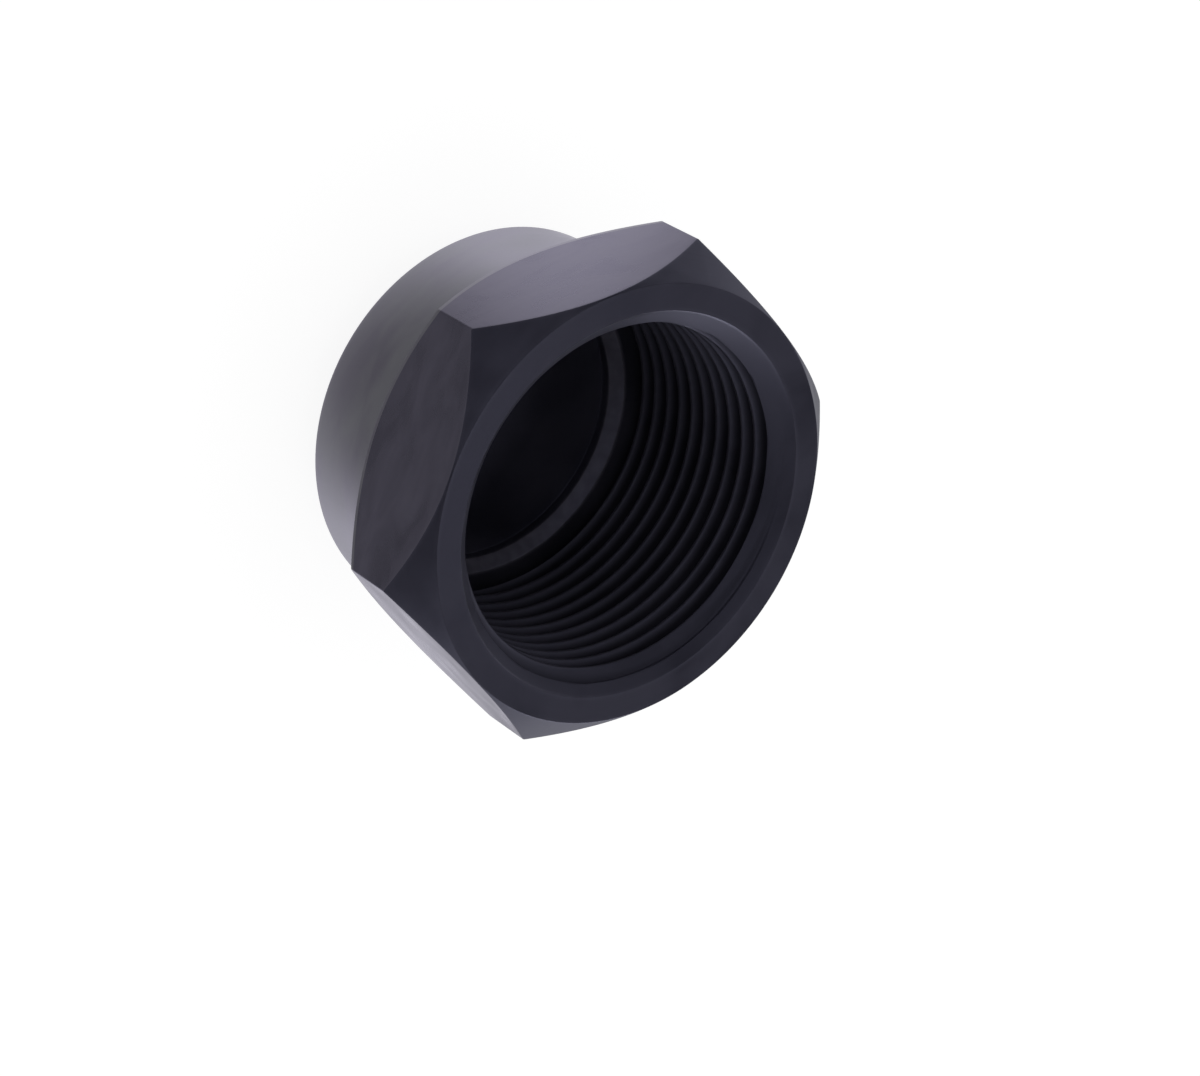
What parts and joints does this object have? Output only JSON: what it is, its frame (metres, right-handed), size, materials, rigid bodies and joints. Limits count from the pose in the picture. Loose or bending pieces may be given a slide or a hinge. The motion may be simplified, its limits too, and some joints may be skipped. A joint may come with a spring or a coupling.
{
  "type": "threaded protection cap",
  "caption": "Hexagonal steel cap with a round closed barrel and an internal pipe thread, screwed over a threaded end to cover and protect it.",
  "frame": {"origin": "centre of the closed end's flat outer face", "axes": "+Z along the cap's axis, out of the threaded mouth; +X through a corner of the hexagon"},
  "size_m": [0.0578, 0.05, 0.033],
  "materials": {
    "blackened_steel": "satin black oxide on machined steel"
  },
  "bodies": {
    "root": {"cap": "blackened_steel"}
  },
  "joints": []
}
